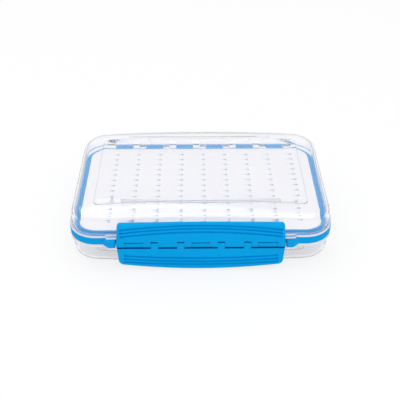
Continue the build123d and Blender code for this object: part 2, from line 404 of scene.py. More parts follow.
@dataclass
class Workshop:
    """Where the box stands in the row's frame, and how a finished piece gets there."""

    middle: Vector

    def finish(
        self,
        shape: BMesh,
        name: str,
        side: Side,
        body: str,
        slot: str,
        node: str,
        material: bpy.types.Material,
        smooth: float = 35.0,
    ) -> bpy.types.Object:
        """Makes a piece of a closed shape, in place, and sets it on its body.

        Args:
            shape: The shape about the box's middle. It is used up.
            name: The piece's name.
            side: The side of the box that it belongs to.
            body: The body that it rides on.
            slot: The record's material slot; not used.
            node: The node that it stands for.
            material: Its finish.
            smooth: Edges that turn by less than this many degrees are shaded smooth.

        Returns:
            The piece.
        """
        bmesh.ops.remove_doubles(shape, verts=shape.verts, dist=1e-4)
        bmesh.ops.dissolve_degenerate(shape, edges=shape.edges, dist=1e-5)
        bmesh.ops.recalc_face_normals(shape, faces=shape.faces)
        to_metres = Matrix.Scale(MILLIMETRE, 4)
        place = Matrix.Translation(self.middle) @ to_metres @ side.turn()
        bmesh.ops.transform(shape, matrix=place, verts=shape.verts)
        mesh = bpy.data.meshes.new(name)
        shape.to_mesh(mesh)
        shape.free()
        mesh.shade_smooth()
        mesh.set_sharp_from_angle(angle=math.radians(smooth))
        mesh.materials.append(material)
        piece = bpy.data.objects.new(name, mesh)
        bpy.context.scene.collection.objects.link(piece)
        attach(piece, body)
        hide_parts(node)
        log.info("%s: %d faces, on %s", name, len(mesh.polygons), body)
        return piece


# ---- Finishes ----------------------------------------------------------------------------------


def linear(colour: str) -> tuple[float, float, float, float]:
    """Turns an sRGB hex colour to the linear values that a shader socket takes."""
    parts = [int(colour[place : place + 2], 16) / 255 for place in (1, 3, 5)]
    turned = [p / 12.92 if p <= 0.04045 else ((p + 0.055) / 1.055) ** 2.4 for p in parts]
    return (turned[0], turned[1], turned[2], 1.0)


def add_node(
    tree: bpy.types.NodeTree,
    kind: str,
    inputs: dict[str | int, object] | None = None,
    **settings: object,
) -> bpy.types.Node:
    """Adds one node with its settings and links.

    Args:
        tree: The tree that it goes into.
        kind: The node's type.
        inputs: A value, or the socket that feeds it, for each named or numbered input.
        **settings: The node's own properties.

    Returns:
        The node.
    """
    made = tree.nodes.new(kind)
    for name, value in settings.items():
        setattr(made, name, value)
    for name, value in (inputs or {}).items():
        if isinstance(value, bpy.types.NodeSocket):
            tree.links.new(value, made.inputs[name])
        else:
            made.inputs[name].default_value = value
    return made


def blank_material(name: str) -> tuple[bpy.types.Material, bpy.types.NodeTree]:
    """A material with an empty node tree, and that tree."""
    material = bpy.data.materials.new(name)
    material.use_nodes = True
    material.node_tree.nodes.clear()
    return material, material.node_tree


@dataclass(frozen=True)
class MouldedPlastic:
    """Injection-moulded plastic from a finely spark-eroded mould.

    The eye sees one even colour with soft, broad highlights, a faint orange peel of the mould's
    texture in them, and a slight cloudiness of the pigment where the melt flowed.
    """

    name: str
    colour: str
    cloud_colour: str
    roughness: float = 0.4
    roughness_spread: float = 0.08
    ior: float = 1.5
    specular: float = 0.04
    grain_mm: float = 0.45  # real grain is near 0.05 mm; drawn coarser so that it shows at all
    grain_depth_mm: float = 0.006
    cloud_mm: float = 22.0

    def material(self) -> bpy.types.Material:
        """Builds the finish's material."""
        made, tree = blank_material(self.name)
        place = add_node(tree, "ShaderNodeTexCoord").outputs["Object"]
        cloud = add_node(
            tree,
            "ShaderNodeTexNoise",
            {"Vector": place, "Scale": 1000 / self.cloud_mm, "Detail": 3.0, "Roughness": 0.55},
        )
        grain = add_node(
            tree,
            "ShaderNodeTexNoise",
            {"Vector": place, "Scale": 1000 / self.grain_mm, "Detail": 2.0, "Roughness": 0.6},
        )
        tone = add_node(
            tree,
            "ShaderNodeMix",
            {0: cloud.outputs[0], 6: linear(self.colour), 7: linear(self.cloud_colour)},
            data_type="RGBA",
        )
        gloss = add_node(
            tree,
            "ShaderNodeMapRange",
            {
                "Value": grain.outputs[0],
                "To Min": self.roughness - self.roughness_spread,
                "To Max": self.roughness + self.roughness_spread,
            },
        )
        relief = add_node(
            tree,
            "ShaderNodeBump",
            {
                "Height": grain.outputs[0],
                "Strength": 0.6,
                "Distance": self.grain_depth_mm * MILLIMETRE,
            },
        )
        shader = add_node(
            tree,
            "ShaderNodeBsdfPrincipled",
            {
                "Base Color": tone.outputs[2],
                "Roughness": gloss.outputs[0],
                "IOR": self.ior,
                "Specular IOR Level": self.specular,
                "Normal": relief.outputs[0],
            },
        )
        add_node(tree, "ShaderNodeOutputMaterial", {"Surface": shader.outputs[0]})
        return made


@dataclass(frozen=True)
class ClearPolycarbonate:
    """Clear polycarbonate, injection moulded in a polished mould.

    The eye looks straight through it, with bright rims, dark lines where a corner or an edge
    bends the view, and hair-fine marks that blur the highlights in places.
    """

    name: str = "clear_polycarbonate"
    colour: str = "#FCFCFE"
    ior: float = 1.585
    roughness: float = 0.03
    scuff: float = 0.05
    scuff_mm: float = 9.0
    wave_mm: float = 26.0
    wave_depth_mm: float = 0.02

    def material(self) -> bpy.types.Material:
        """Builds the finish's material. Even light passes it straight, as through thin plastic."""
        made, tree = blank_material(self.name)
        place = add_node(tree, "ShaderNodeTexCoord").outputs["Object"]
        marks = add_node(
            tree,
            "ShaderNodeTexNoise",
            {"Vector": place, "Scale": 1000 / self.scuff_mm, "Detail": 6.0, "Roughness": 0.7},
        )
        gloss = add_node(
            tree,
            "ShaderNodeMapRange",
            {
                "Value": marks.outputs[0],
                "From Min": 0.45,
                "From Max": 0.75,
                "To Min": self.roughness,
                "To Max": self.roughness + self.scuff,
            },
        )
        flow = add_node(
            tree,
            "ShaderNodeTexNoise",
            {"Vector": place, "Scale": 1000 / self.wave_mm, "Detail": 1.0},
        )
        relief = add_node(
            tree,
            "ShaderNodeBump",
            {
                "Height": flow.outputs[0],
                "Strength": 0.5,
                "Distance": self.wave_depth_mm * MILLIMETRE,
            },
        )
        shader = add_node(
            tree,
            "ShaderNodeBsdfPrincipled",
            {
                "Base Color": linear(self.colour),
                "Roughness": gloss.outputs[0],
                "IOR": self.ior,
                "Transmission Weight": 1.0,
                "Normal": relief.outputs[0],
            },
        )
        path = add_node(tree, "ShaderNodeLightPath")
        through = add_node(tree, "ShaderNodeBsdfTransparent", {"Color": linear("#F9FAFB")})
        pick = shader
        for ray in ("Is Diffuse Ray", "Is Shadow Ray"):
            pick = add_node(
                tree,
                "ShaderNodeMixShader",
                {0: path.outputs[ray], 1: pick.outputs[0], 2: through.outputs[0]},
            )
        add_node(tree, "ShaderNodeOutputMaterial", {"Surface": pick.outputs[0]})
        return made


@dataclass(frozen=True)
class FrostedPolycarbonate:
    """Clear polycarbonate where the mould is spark-eroded, not polished: the lids' rims.

    The eye sees a milky white edge that lets some of the colour under it glow through.
    """

    name: str = "frosted_polycarbonate"
    colour: str = "#F6F6F9"
    deep_colour: str = "#EEEFF4"
    ior: float = 1.585
    roughness: float = 0.45
    see_through: float = 0.3
    grain_mm: float = 0.4  # real grain is near 0.05 mm; drawn coarser so that it shows
    grain_depth_mm: float = 0.01

    def material(self) -> bpy.types.Material:
        """Builds the finish's material."""
        made, tree = blank_material(self.name)
        place = add_node(tree, "ShaderNodeTexCoord").outputs["Object"]
        grain = add_node(
            tree,
            "ShaderNodeTexNoise",
            {"Vector": place, "Scale": 1000 / self.grain_mm, "Detail": 2.0},
        )
        tone = add_node(
            tree,
            "ShaderNodeMix",
            {0: grain.outputs[0], 6: linear(self.colour), 7: linear(self.deep_colour)},
            data_type="RGBA",
        )
        relief = add_node(
            tree,
            "ShaderNodeBump",
            {
                "Height": grain.outputs[0],
                "Strength": 0.5,
                "Distance": self.grain_depth_mm * MILLIMETRE,
            },
        )
        shader = add_node(
            tree,
            "ShaderNodeBsdfPrincipled",
            {
                "Base Color": tone.outputs[2],
                "Roughness": self.roughness,
                "IOR": self.ior,
                "Transmission Weight": self.see_through,
                "Normal": relief.outputs[0],
            },
        )
        add_node(tree, "ShaderNodeOutputMaterial", {"Surface": shader.outputs[0]})
        return made


@dataclass(frozen=True)
class SoftElastomer:
    """Thermoplastic elastomer, extruded and tumbled matt.

    The eye sees a paler, slightly translucent blue with a waxy sheen and no sharp highlight.
    """

    name: str = "seal_elastomer"
    colour: str = "#4FB3EC"
    deep_colour: str = "#3AA2E2"
    roughness: float = 0.55
    grain_mm: float = 0.6  # real skin is finer; drawn coarser so that it shows

    def material(self) -> bpy.types.Material:
        """Builds the finish's material."""
        made, tree = blank_material(self.name)
        place = add_node(tree, "ShaderNodeTexCoord").outputs["Object"]
        grain = add_node(
            tree,
            "ShaderNodeTexNoise",
            {"Vector": place, "Scale": 1000 / self.grain_mm, "Detail": 3.0},
        )
        tone = add_node(
            tree,
            "ShaderNodeMix",
            {0: grain.outputs[0], 6: linear(self.colour), 7: linear(self.deep_colour)},
            data_type="RGBA",
        )
        relief = add_node(
            tree,
            "ShaderNodeBump",
            {"Height": grain.outputs[0], "Strength": 0.4, "Distance": 0.02 * MILLIMETRE},
        )
        shader = add_node(
            tree,
            "ShaderNodeBsdfPrincipled",
            {
                "Base Color": tone.outputs[2],
                "Roughness": self.roughness,
                "IOR": 1.48,
                "Subsurface Weight": 0.15,
                "Subsurface Scale": 0.6 * MILLIMETRE,
                "Normal": relief.outputs[0],
            },
        )
        add_node(tree, "ShaderNodeOutputMaterial", {"Surface": shader.outputs[0]})
        return made


@dataclass(frozen=True)
class ClosedCellFoam:
    """Cross-linked polyethylene foam, skived from a block and die-slit.

    The eye sees a matt, cool white with a fine open grain of cut cells and soft edges.
    """

    name: str = "closed_cell_foam"
    colour: str = "#FCFAFB"
    cell_colour: str = "#F3F1F6"
    cell_mm: float = 0.5  # real cells are near 0.2 mm; drawn coarser so that they show
    cell_depth_mm: float = 0.05
    cloud_mm: float = 30.0

    def material(self) -> bpy.types.Material:
        """Builds the finish's material."""
        made, tree = blank_material(self.name)
        place = add_node(tree, "ShaderNodeTexCoord").outputs["Object"]
        cells = add_node(
            tree,
            "ShaderNodeTexVoronoi",
            {"Vector": place, "Scale": 1000 / self.cell_mm},
        )
        cloud = add_node(
            tree,
            "ShaderNodeTexNoise",
            {"Vector": place, "Scale": 1000 / self.cloud_mm, "Detail": 2.0},
        )
        shade = add_node(
            tree,
            "ShaderNodeMath",
            {0: cells.outputs["Distance"], 1: cloud.outputs[0]},
            operation="MULTIPLY",
        )
        tone = add_node(
            tree,
            "ShaderNodeMix",
            {0: shade.outputs[0], 6: linear(self.colour), 7: linear(self.cell_colour)},
            data_type="RGBA",
        )
        relief = add_node(
            tree,
            "ShaderNodeBump",
            {
                "Height": cells.outputs["Distance"],
                "Strength": 0.5,
                "Distance": self.cell_depth_mm * MILLIMETRE,
            },
        )
        shader = add_node(
            tree,
            "ShaderNodeBsdfPrincipled",
            {
                "Base Color": tone.outputs[2],
                "Roughness": 0.9,
                "IOR": 1.3,
                "Sheen Weight": 0.1,
                "Normal": relief.outputs[0],
            },
        )
        add_node(tree, "ShaderNodeOutputMaterial", {"Surface": shader.outputs[0]})
        return made


@dataclass(frozen=True)
class DrawnSteel:
    """Stainless steel wire, drawn and cut.

    The eye sees a bright grey with fine lines along the wire from the drawing die.
    """

    name: str = "drawn_steel"
    colour: str = "#B4B7BC"
    dark_colour: str = "#989CA2"
    roughness: float = 0.24
    line_mm: float = 0.25  # real draw lines are near 0.05 mm; drawn coarser so that they show

    def material(self) -> bpy.types.Material:
        """Builds the finish's material."""
        made, tree = blank_material(self.name)
        place = add_node(tree, "ShaderNodeTexCoord").outputs["Object"]
        drawn = add_node(
            tree, "ShaderNodeMapping", {"Vector": place, "Scale": (0.02, 1.0, 1.0)}
        )
        lines = add_node(
            tree,
            "ShaderNodeTexNoise",
            {"Vector": drawn.outputs[0], "Scale": 1000 / self.line_mm, "Detail": 2.0},
        )
        tone = add_node(
            tree,
            "ShaderNodeMix",
            {0: lines.outputs[0], 6: linear(self.colour), 7: linear(self.dark_colour)},
            data_type="RGBA",
        )
        gloss = add_node(
            tree,
            "ShaderNodeMapRange",
            {
                "Value": lines.outputs[0],
                "To Min": self.roughness - 0.08,
                "To Max": self.roughness + 0.08,
            },
        )
        shader = add_node(
            tree,
            "ShaderNodeBsdfPrincipled",
            {
                "Base Color": tone.outputs[2],
                "Metallic": 1.0,
                "Roughness": gloss.outputs[0],
            },
        )
        add_node(tree, "ShaderNodeOutputMaterial", {"Surface": shader.outputs[0]})
        return made


# ---- Lids --------------------------------------------------------------------------------------


@dataclass
class Lid:
    """One clear lid: flange, front lip, drafted walls, crowned top, panel, ribs and arms."""

    outline: RoundedOutline = RoundedOutline(75.0, 49.0, 16.0)
    panel: RoundedOutline = RoundedOutline(60.5, 36.0, 3.0)
    wall: float = 1.4
    wall_inset: float = 1.0
    draft: float = 4.0
    flange_inset: float = 0.2
    rim_level: float = 2.25
    flange_top: float = 4.7
    flange_rounding: float = 0.3
    shoulder_level: float = 14.7
    shoulder_crown: float = 0.2
    crown: float = 4.0
    crown_power: float = 10.0
    shoulder_radius: float = 4.5
    panel_rise: float = 0.3
    lip_half: float = 53.3
    lip_reach: float = 1.5
    lip_corner: float = 1.2
    rib_half_length: float = 45.0
    rib_width: float = 1.2
    rib_depth: float = 35.4
    rib_floor: float = 16.4
    rib_top: float = 19.1
    frost_end: float = 30.0
    frost_top: float = 3.9
    arm_places: tuple[float, ...] = (-56.9, -41.43, -17.57, -2.1, 21.77, 37.23)
    arm_width: float = 4.0
    arm_radius: float = 2.3
    hinge_depth: float = 51.6
    bore_radius: float = 1.05
    lip_steps: int = 5
    stations: list[Station] = field(init=False)

    def __post_init__(self) -> None:
        """Lays the stations so that the lip's ends fall on some of them."""
        run = self.outline.half_width - self.outline.radius
        step = self.lip_corner / self.lip_steps
        ends = [(self.lip_half - step * k) / run for k in range(self.lip_steps + 1)]
        shares_x = even_shares(20, [*ends, *[-end for end in ends]])
        self.stations = round_stations(12, shares_x, even_shares(12))

    def top(self, x: float, y: float) -> float:
        """Finds the height of the lid's crowned top.

        Args:
            x: Place along X.
            y: Place along Y.

        Returns:
            The height, without the panel.
        """
        edge = min(1.0, abs(y) / self.outline.half_depth)
        rise = self.shoulder_crown
        rise += (self.crown - self.shoulder_crown) * (1 - edge**self.crown_power)
        half = self.outline.half_width
        radius = (half * half + rise * rise) / (2 * rise)
        return self.shoulder_level + math.sqrt(radius * radius - x * x) - (radius - rise)

    def shoulder(self, station: Station, base: float, drop: float, radius: float) -> list[Vector]:
        """Works out the rounding between wall and top at one station.

        Args:
            station: Which place round the lid.
            base: The wall's inset at the rim.
            drop: How far this skin lies under the outside of the top.
            radius: Of the rounding.

        Returns:
            Its points, from the wall up to the top.
        """
        lean = math.radians(self.draft)

        def height(inset: float) -> float:
            """The top's height at an inset from the band's outline."""
            spot = self.outline.point(station, inset)
            return self.top(spot.x, spot.y) - drop

        inset, level, slope = base + 2 * radius, height(base + radius) - radius, 0.0
        for _ in range(8):
            touch = inset - radius * math.sin(slope)
            slope = math.atan((height(touch + 0.1) - height(touch - 0.1)) / 0.2)
            level = height(touch) + math.tan(slope) * (inset - touch) - radius / math.cos(slope)
            inset = base + math.tan(lean) * (level - self.rim_level) + radius / math.cos(lean)
        points = []
        for step in range(9):
            angle = math.pi - lean + (slope + lean - math.pi / 2) * step / 8
            points.append(
                self.outline.point(
                    station,
                    inset + radius * math.cos(angle),
                    level + radius * math.sin(angle),
                )
            )
        return points

    def top_rings(
        self, rims: Sequence[Vector], drop: float, steps: int
    ) -> list[list[Vector]]:
        """Lays rings on the top between its rounding and the panel's edge.

        Args:
            rims: The rounding's last points, one for each station.
            drop: How far this skin lies under the outside of the top.
            steps: How many rings.

        Returns:
            The rings, from the rounding inwards.
        """
        rings = []
        for step in range(1, steps + 1):
            ring = []
            for station, rim in zip(self.stations, rims):
                inner = self.panel.point(station, -0.5)
                spot = rim.lerp(inner, step / steps)
                ring.append(Vector((spot.x, spot.y, self.top(spot.x, spot.y) - drop)))
            rings.append(ring)
        return rings

    def flange_point(self, station: Station, shrink: float, level: float) -> Vector:
        """Finds a point of the flange's outside, which carries the lip in front.

        Args:
            station: Which place round the lid.
            shrink: How far in from the flange's outside.
            level: Height of the point.

        Returns:
            The point.
        """
        plain = self.outline.point(station, self.flange_inset + shrink, level)
        on_front = station.share_y == -1.0 and abs(station.facing + math.pi / 2) < 1e-6
        across = abs(plain.x)
        if not on_front or across > self.lip_half + 1e-3:
            return plain
        reach = plain.y - self.lip_reach
        if across < self.lip_half - self.lip_corner - 1e-3:
            return Vector((plain.x, reach, level))
        step = round((self.lip_half - across) / self.lip_corner * self.lip_steps)
        sign = math.copysign(1.0, plain.x)
        if step == 0:
            return Vector((sign * (self.lip_half - shrink), plain.y, level))
        angle = (step - 1) / (self.lip_steps - 1) * math.pi / 2
        bend = self.lip_corner - shrink
        beside = self.lip_half - self.lip_corner + bend * math.cos(angle)
        front = reach + bend - bend * math.sin(angle)
        return Vector((sign * beside, front, level))

    def wall_ring(self, base: float, level: float) -> list[Vector]:
        """A ring on a drafted wall, whose inset at the rim is base."""
        inset = base + math.tan(math.radians(self.draft)) * (level - self.rim_level)
        return [self.outline.point(station, inset, level) for station in self.stations]

    def flange_ring(self, shrink: float, level: float) -> list[Vector]:
        """A ring round the outside of the flange."""
        return [self.flange_point(station, shrink, level) for station in self.stations]

    def panel_ring(self, grown: float, rise: float) -> list[Vector]:
        """A ring round the panel, above the top by rise."""
        ring = []
        for station in self.stations:
            spot = self.panel.point(station, -grown)
            ring.append(Vector((spot.x, spot.y, self.top(spot.x, spot.y) + rise)))
        return ring

    def skin(self) -> BMesh:
        """Grows the lid's whole skin, from the inside of its top round to the outside."""
        base_in = self.wall_inset + self.wall
        radius_in = self.shoulder_radius - self.wall
        inside = [self.shoulder(s, base_in, self.wall, radius_in) for s in self.stations]
        outside = [
            self.shoulder(s, self.wall_inset, 0.0, self.shoulder_radius) for s in self.stations
        ]
        cuts_x = [self.panel.half_width * share for share in even_shares(16)]
        cuts_y = [self.panel.half_depth * share for share in even_shares(12)]
        under = self.top_rings([points[-1] for points in inside], self.wall, 6)
        over = self.top_rings([points[-1] for points in outside], 0.0, 6)
        loft = RingLoft(self.stations)
        loft.run(under[::-1], start=True)
        loft.run([[points[step] for points in inside] for step in range(8, -1, -1)])
        rounding = self.flange_rounding
        corner = rounding * (1 - math.sqrt(0.5))
        root = self.wall_inset - self.flange_inset
        loft.run(
            [
                self.wall_ring(base_in, self.rim_level + 0.15),
                self.wall_ring(base_in - 0.15, self.rim_level),
                self.flange_ring(0.15, self.rim_level),
                self.flange_ring(0.0, self.rim_level + 0.15),
                self.flange_ring(0.0, self.frost_top),
                self.flange_ring(0.0, self.flange_top - rounding),
                self.flange_ring(corner, self.flange_top - corner),
                self.flange_ring(rounding, self.flange_top),
                self.wall_ring(self.wall_inset - min(0.25, root / 3), self.flange_top),
                self.wall_ring(self.wall_inset - 0.06, self.flange_top + 0.08),
                self.wall_ring(self.wall_inset, self.flange_top + 0.3),
                self.wall_ring(self.wall_inset, 8.0),
            ]
        )
        loft.run([[points[step] for points in outside] for step in range(9)])
        loft.run(over)
        rise = self.panel_rise
        loft.run(
            [
                self.panel_ring(0.12, 0.03),
                self.panel_ring(0.03, rise * 0.4),
                self.panel_ring(-0.05, rise * 0.85),
                self.panel_ring(-0.25, rise),
            ]
        )
        loft.cap(loft.first_edges, lambda x, y: self.top(x, y) - self.wall, cuts_x, cuts_y)
        loft.cap(loft.edges, lambda x, y: self.top(x, y) + rise, cuts_x, cuts_y)
        return loft.bm

    def ribs(self) -> BMesh:
        """The two straight ribs on the top, which the box stands on when it lies on them."""
        shape = bmesh.new()
        for sign in (-1, 1):
            middle = Vector((0, sign * self.rib_depth, (self.rib_floor + self.rib_top) / 2))
            half = Vector((self.rib_half_length, self.rib_width / 2, self.rib_top - middle.z))
            pour(shape, block(middle - half, middle + half, 0.12, 2))
        return shape

    def arms(self) -> BMesh:
        """The six arms that reach back from the flange to the pin."""
        outer = self.hinge_depth + self.arm_radius
        inner = self.hinge_depth - self.arm_radius
        root = self.outline.half_depth - 0.9
        radius = self.arm_radius
        corners = [
            (outer, self.flange_top),
            (outer, -radius),
            (inner, -radius),
            (inner, self.rim_level + 0.05),
            (root, self.rim_level + 0.05),
            (root, self.flange_top),
        ]
        shape = bmesh.new()
        for place in self.arm_places:
            half = self.arm_width / 2
            rounded = {0: radius, 1: radius - 1e-3, 2: radius - 1e-3}
            pour(shape, prism(corners, place - half, place + half, rounded))
        return shape

    def frost(self, lid: BMesh) -> None:
        """Gives the foot of the flange the second finish, the ribs' upright faces the third."""
        inner = self.wall_inset + self.wall - 0.3
        for face in lid.faces:
            spot = face.calc_center_median()
            run_x = max(0.0, abs(spot.x) - self.outline.half_width + self.outline.radius)
            run_y = max(0.0, abs(spot.y) - self.outline.half_depth + self.outline.radius)
            outward = math.hypot(run_x, run_y) > self.outline.radius - inner
            low = spot.z < self.frost_top and spot.y < self.frost_end
            beside = abs(abs(spot.y) - self.rib_depth) - self.rib_width / 2
            on_rib = -0.25 < beside < 0.02 and abs(face.normal.y) > 0.4
            on_rib = on_rib and spot.z > self.rib_floor
            face.material_index = 2 if on_rib else int(outward and low)

    def build(self) -> BMesh:
        """Builds the closed lid, of one piece."""
        lid = combine(self.skin(), self.ribs(), Join.ADD)
        self.frost(lid)
        lid = combine(lid, self.arms(), Join.ADD)
        return combine(lid, rod(self.bore_radius, -64.0, 64.0, self.hinge_depth), Join.TAKE)

    def dress(
        self,
        shop: Workshop,
        clear: ClearPolycarbonate,
        rim: FrostedPolycarbonate,
        rib: FrostedPolycarbonate,
    ) -> None:
        """Puts both lids in place.

        Args:
            shop: Where the box stands.
            clear: The lids' polished plastic.
            rim: The same plastic on the flange.
            rib: And beside the ribs.
        """
        polished, frosted = clear.material(), (rim.material(), rib.material())
        for side in Side:
            node = f"{side.value}_lid"
            piece = shop.finish(
                self.build(), f"{node}_shell", side, node, "clear_lid", node, polished, 30
            )
            for finish in frosted:
                piece.data.materials.append(finish)


# ---- Frame -------------------------------------------------------------------------------------


@dataclass
class Frame:
    """The blue frame: band, rings, web, ears, and the knuckles of both pins."""

    outline: RoundedOutline = RoundedOutline(75.0, 49.0, 16.0)
    band_half: float = 2.15
    rounding: float = 0.5
    groove_out: float = 1.1
    groove_in: float = 2.5
    groove_floor: float = 1.25
    ring_out: float = 4.2
    ring_in: float = 5.5
    ring_top: float = 4.1
    notch_floor: float = 3.0
    notch_end: float = 59.0
    web_half: float = 0.75
    hinge_depth: float = 51.6
    knuckle_radius: float = 2.25
    knuckle_width: float = 11.07
    knuckle_pitch: float = 19.667
    front_face: float = -52.2
    front_top: float = 0.85
    front_foot: float = 1.9
    front_rounding: float = 0.5
    front_width: float = 10.8
    front_pitch: float = 37.4
    ear_start: float = 47.9
    ear_flat: float = 50.9
    ear_end: float = 56.2
    ear_front: float = -52.7
    ear_rounding: float = 0.5

    def half_section(self) -> list[tuple[float, float]]:
        """Insets and heights of the rings from the web out to the band's face, upper side."""
        soft = self.rounding
        quarter = [
            (soft * (1 - math.sin(turn)), self.band_half - soft * (1 - math.cos(turn)))
            for turn in (0, math.pi / 8, math.pi / 4, 3 * math.pi / 8, math.pi / 2)
        ]
        return [
            (self.ring_in + 0.4, self.web_half),
            (self.ring_in, self.web_half + 0.4),
            (self.ring_in, self.ring_top - 0.35),
            (self.ring_in - 0.1, self.ring_top - 0.1),
            (self.ring_in - 0.35, self.ring_top),
            (self.ring_out + 0.35, self.ring_top),
            (self.ring_out + 0.1, self.ring_top - 0.1),
            (self.ring_out, self.ring_top - 0.35),
            (self.ring_out, self.band_half + 0.15),
            (self.ring_out - 0.15, self.band_half),
            (self.groove_in, self.band_half),
            (self.groove_in, self.groove_floor),
            (self.groove_out, self.groove_floor),
            (self.groove_out, self.band_half),
            *quarter,
        ]

    def band(self) -> BMesh:
        """Grows the band, its rings and the web across it."""
        stations = round_stations(14, even_shares(12), even_shares(8))
        upper = self.half_section()
        section = upper + [(inset, -level) for inset, level in reversed(upper)]
        rings = [[self.outline.point(s, inset, level) for s in stations] for inset, level in section]
        loft = RingLoft(stations)
        loft.run(rings, start=True)
        loft.cap(loft.first_edges)
        loft.cap(loft.edges)
        return loft.bm

    def ring_notches(self) -> BMesh:
        """The notches in both rings along the back, between the places of the knuckles."""
        shape = bmesh.new()
        half = self.knuckle_width / 2
        middles = [(step + 0.5) * self.knuckle_pitch for step in range(-3, 3)]
        starts = [-self.notch_end, *[middle + half for middle in middles]]
        ends = [*[middle - half for middle in middles], self.notch_end]
        inner = self.outline.half_depth - self.ring_in - 0.3
        outer = self.outline.half_depth - self.ring_out + 0.3
        for start, end in zip(starts, ends):
            for low, high in ((self.notch_floor, 5.0), (-5.0, -self.notch_floor)):
                pour(shape, block(Vector((start, inner, low)), Vector((end, outer, high))))
        return shape

    def ears(self) -> BMesh:
        """The two ears beside the latches, swept into the band and softened all round."""
        shape = bmesh.new()
        face = -self.outline.half_depth
        root = face + 0.8
        level = self.band_half - 0.01
        for sign in (-1, 1):
            ear = bmesh.new()
            bmesh.ops.create_grid(ear, x_segments=20, y_segments=1, size=0.5)
            for vert in ear.verts:
                share = vert.co.x + 0.5
                across = self.ear_start + (self.ear_end - self.ear_start) * share
                swept = max(0.0, (across - self.ear_flat) / (self.ear_end - self.ear_flat))
                sweep = swept * swept * (3 - 2 * swept)
                depth = self.ear_front + (face + 0.1 - self.ear_front) * sweep
                vert.co = Vector((sign * across, depth if vert.co.y < 0 else root, -level))
            made = bmesh.ops.extrude_face_region(ear, geom=ear.faces[:])["geom"]
            risen = [part for part in made if isinstance(part, BMVert)]
            bmesh.ops.translate(ear, vec=(0, 0, 2 * level), verts=risen)
            bmesh.ops.recalc_face_normals(ear, faces=ear.faces)
            sharp = [
                edge
                for edge in ear.edges
                if edge.calc_face_angle(0) > 0.8 and max(v.co.y for v in edge.verts) < root - 0.05
            ]
            bmesh.ops.bevel(
                ear,
                geom=sharp,
                offset=self.ear_rounding,
                segments=3,
                affect="EDGES",
                profile=0.5,
                material=-1,
            )
            pour(shape, ear)
        return shape

    def back_knuckles(self) -> BMesh:
        """Six barrels round the back pin, each on its root in the band."""
        shape = bmesh.new()
        radius = self.knuckle_radius
        root = self.outline.half_depth - 0.6
        depth = self.hinge_depth
        corners = [
            (depth + radius, radius),
            (depth + radius, -radius),
            (depth - radius, -radius),
            (depth - radius, -self.band_half),
            (root, -self.band_half),
            (root, self.band_half),
            (depth - radius, self.band_half),
            (depth - radius, radius),
        ]
        rounded = {0: radius - 1e-3, 1: radius - 1e-3}
        for step in range(-3, 3):
            middle = (step + 0.5) * self.knuckle_pitch
            half = self.knuckle_width / 2
            pour(shape, prism(corners, middle - half, middle + half, rounded, 0.25))
        return shape

    def front_knuckles(self) -> BMesh:
        """Three knuckles on the front pin, flat in front and level with the latches' faces."""
        shape = bmesh.new()
        face, top, foot = self.front_face, self.front_top, -self.front_foot
        root = -self.outline.half_depth + 0.6
        corners = [(face, top), (face, foot), (root, foot), (root, top)]
        rounded = {0: self.front_rounding, 1: self.front_rounding}
        for middle in (-self.front_pitch, 0.0, self.front_pitch):
            half = self.front_width / 2
            pour(shape, prism(corners, middle - half, middle + half, rounded, 0.2))
        return shape

    def build(self) -> BMesh:
        """Builds the frame as one mesh."""
        made = combine(self.band(), self.ring_notches(), Join.TAKE)
        for part in (self.back_knuckles(), self.front_knuckles()):
            made = combine(made, part, Join.ADD)
        pour(made, self.ears())
        return made

    def dress(self, shop: Workshop, finish: MouldedPlastic) -> None:
        """Puts the frame in place.

        Args:
            shop: Where the box stands.
            finish: The frame's plastic.
        """
        shop.finish(
            self.build(),
            "frame_moulding",
            Side.UPPER,
            "frame",
            "frame_plastic",
            "mid_frame",
            finish.material(),
        )


# ---- Seals, foams and pins ---------------------------------------------------------------------


@dataclass
class Seals:
    """A soft ring in each of the band's grooves."""

    outline: RoundedOutline = RoundedOutline(75.0, 49.0, 16.0)
    inset: float = 1.2
    width: float = 1.2
    floor: float = 1.25
    top: float = 2.25
    rounding: float = 0.25

    def build(self) -> BMesh:
        """Grows one ring round its own section."""
        stations = round_stations(14, even_shares(8), even_shares(6))
        soft = self.rounding
        corner = soft * (1 - math.sqrt(0.5))
        low, high = self.inset, self.inset + self.width
        section = [
            (low, self.floor),
            (low, self.top - soft),
            (low + corner, self.top - corner),
            (low + soft, self.top),
            (high - soft, self.top),
            (high - corner, self.top - corner),
            (high, self.top - soft),
            (high, self.floor),
            (low, self.floor),
        ]
        rings = [[self.outline.point(s, inset, level) for s in stations] for inset, level in section]
        loft = RingLoft(stations)
        loft.run(rings, start=True)
        loft.close()
        return loft.bm

    def dress(self, shop: Workshop, finish: SoftElastomer) -> None:
        """Puts both rings in place.

        Args:
            shop: Where the box stands.
            finish: The rings' elastomer.
        """
        material = finish.material()
        for side in Side:
            node = f"{side.value}_seal"
            shop.finish(
                self.build(), f"{node}_ring", side, "frame", "seal_rubber", node, material
            )


